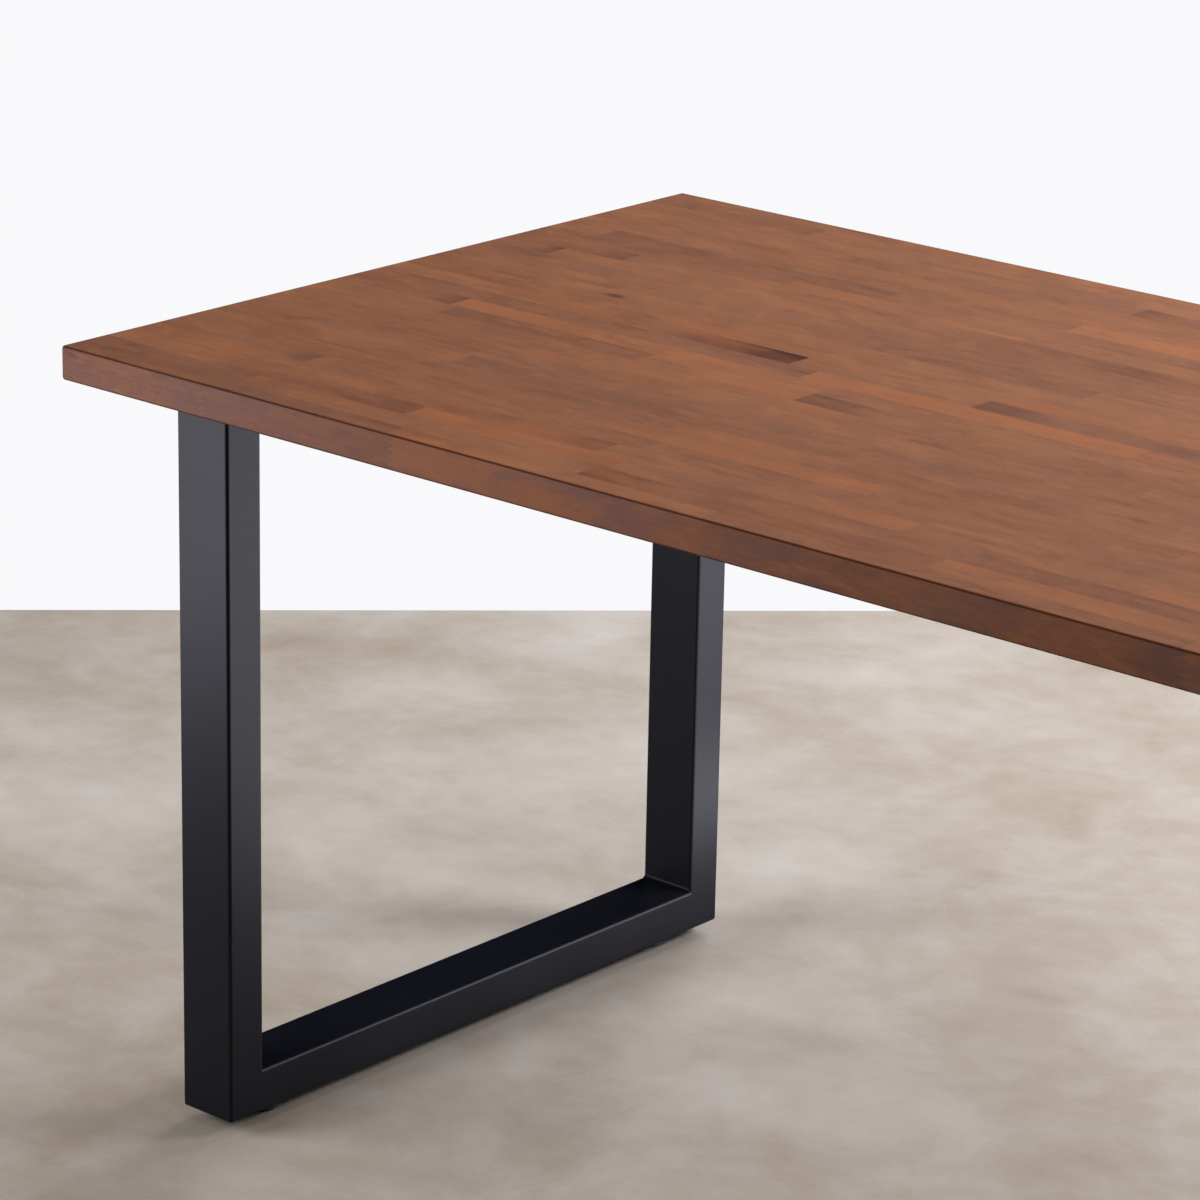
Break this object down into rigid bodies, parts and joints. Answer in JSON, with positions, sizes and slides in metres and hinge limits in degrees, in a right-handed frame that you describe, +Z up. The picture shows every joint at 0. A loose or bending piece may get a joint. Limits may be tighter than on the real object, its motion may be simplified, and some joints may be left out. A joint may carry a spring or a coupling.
{
  "type": "butcher block table",
  "caption": "Rectangular table: an edge-glued butcher block top of finger-jointed staves on welded black steel tube loop legs with screw-adjusted levelling feet.",
  "frame": {"origin": "on the floor, under the middle of the top", "axes": "+X along the table to its right end, +Y to its back, +Z up"},
  "size_m": [1.5, 0.8, 0.705],
  "materials": {
    "stained_hardwood": "red-brown stain under a satin varnish",
    "black_powder_coat": "fine satin powder coat",
    "black_bolt_steel": "black zinc",
    "zinc_steel": "bright zinc plate",
    "pad_plastic": "moulded, fine grain"
  },
  "bodies": {
    "table": {"foot_rivet_nuts": "zinc_steel", "left_bottom_rail": "black_powder_coat", "left_front_upright": "black_powder_coat", "left_rear_upright": "black_powder_coat", "left_top_plate": "black_powder_coat", "left_welds": "black_powder_coat", "plate_bolts": "black_bolt_steel", "plate_washers": "zinc_steel", "right_bottom_rail": "black_powder_coat", "right_front_upright": "black_powder_coat", "right_rear_upright": "black_powder_coat", "right_top_plate": "black_powder_coat", "right_welds": "black_powder_coat", "stave_row_01": "stained_hardwood", "stave_row_02": "stained_hardwood", "stave_row_03": "stained_hardwood", "stave_row_04": "stained_hardwood", "stave_row_05": "stained_hardwood", "stave_row_06": "stained_hardwood", "stave_row_07": "stained_hardwood", "stave_row_08": "stained_hardwood", "stave_row_09": "stained_hardwood", "stave_row_10": "stained_hardwood", "stave_row_11": "stained_hardwood", "stave_row_12": "stained_hardwood", "stave_row_13": "stained_hardwood", "stave_row_14": "stained_hardwood", "stave_row_15": "stained_hardwood", "stave_row_16": "stained_hardwood", "stave_row_17": "stained_hardwood", "stave_row_18": "stained_hardwood", "stave_row_19": "stained_hardwood", "stave_row_20": "stained_hardwood", "stave_row_21": "stained_hardwood", "stave_row_22": "stained_hardwood", "stave_row_23": "stained_hardwood", "stave_row_24": "stained_hardwood", "stave_row_25": "stained_hardwood", "stave_row_26": "stained_hardwood", "stave_row_27": "stained_hardwood", "stave_row_28": "stained_hardwood", "stave_row_29": "stained_hardwood", "threaded_inserts": "zinc_steel"},
    "left_front_foot_pad_body": {"left_front_foot_pad": "pad_plastic"},
    "left_front_foot_stem_body": {"left_front_foot_stem": "zinc_steel"},
    "left_rear_foot_pad_body": {"left_rear_foot_pad": "pad_plastic"},
    "left_rear_foot_stem_body": {"left_rear_foot_stem": "zinc_steel"},
    "right_front_foot_pad_body": {"right_front_foot_pad": "pad_plastic"},
    "right_front_foot_stem_body": {"right_front_foot_stem": "zinc_steel"},
    "right_rear_foot_pad_body": {"right_rear_foot_pad": "pad_plastic"},
    "right_rear_foot_stem_body": {"right_rear_foot_stem": "zinc_steel"}
  },
  "joints": [
    {"name": "left_front_foot_lift", "type": "slide", "parent": "table", "child": "left_front_foot_pad_body", "axis": [0, 0, -1], "range_m": [0, 0.01]},
    {"name": "left_front_foot_turn", "type": "hinge", "parent": "left_front_foot_pad_body", "child": "left_front_foot_stem_body", "pos_m": [-0.655, -0.265, 0.02], "axis": [0, 0, -1], "range_deg": [0, 2880]},
    {"name": "left_rear_foot_lift", "type": "slide", "parent": "table", "child": "left_rear_foot_pad_body", "axis": [0, 0, -1], "range_m": [0, 0.01]},
    {"name": "left_rear_foot_turn", "type": "hinge", "parent": "left_rear_foot_pad_body", "child": "left_rear_foot_stem_body", "pos_m": [-0.655, 0.265, 0.02], "axis": [0, 0, -1], "range_deg": [0, 2880]},
    {"name": "right_front_foot_lift", "type": "slide", "parent": "table", "child": "right_front_foot_pad_body", "axis": [0, 0, -1], "range_m": [0, 0.01]},
    {"name": "right_front_foot_turn", "type": "hinge", "parent": "right_front_foot_pad_body", "child": "right_front_foot_stem_body", "pos_m": [0.655, -0.265, 0.02], "axis": [0, 0, -1], "range_deg": [0, 2880]},
    {"name": "right_rear_foot_lift", "type": "slide", "parent": "table", "child": "right_rear_foot_pad_body", "axis": [0, 0, -1], "range_m": [0, 0.01]},
    {"name": "right_rear_foot_turn", "type": "hinge", "parent": "right_rear_foot_pad_body", "child": "right_rear_foot_stem_body", "pos_m": [0.655, 0.265, 0.02], "axis": [0, 0, -1], "range_deg": [0, 2880]}
  ],
  "couplings": [
    {"joint": "left_front_foot_lift", "follows": "left_front_foot_turn", "m_per_rad": 0.00019894},
    {"joint": "left_rear_foot_lift", "follows": "left_rear_foot_turn", "m_per_rad": 0.00019894},
    {"joint": "right_front_foot_lift", "follows": "right_front_foot_turn", "m_per_rad": 0.00019894},
    {"joint": "right_rear_foot_lift", "follows": "right_rear_foot_turn", "m_per_rad": 0.00019894}
  ]
}
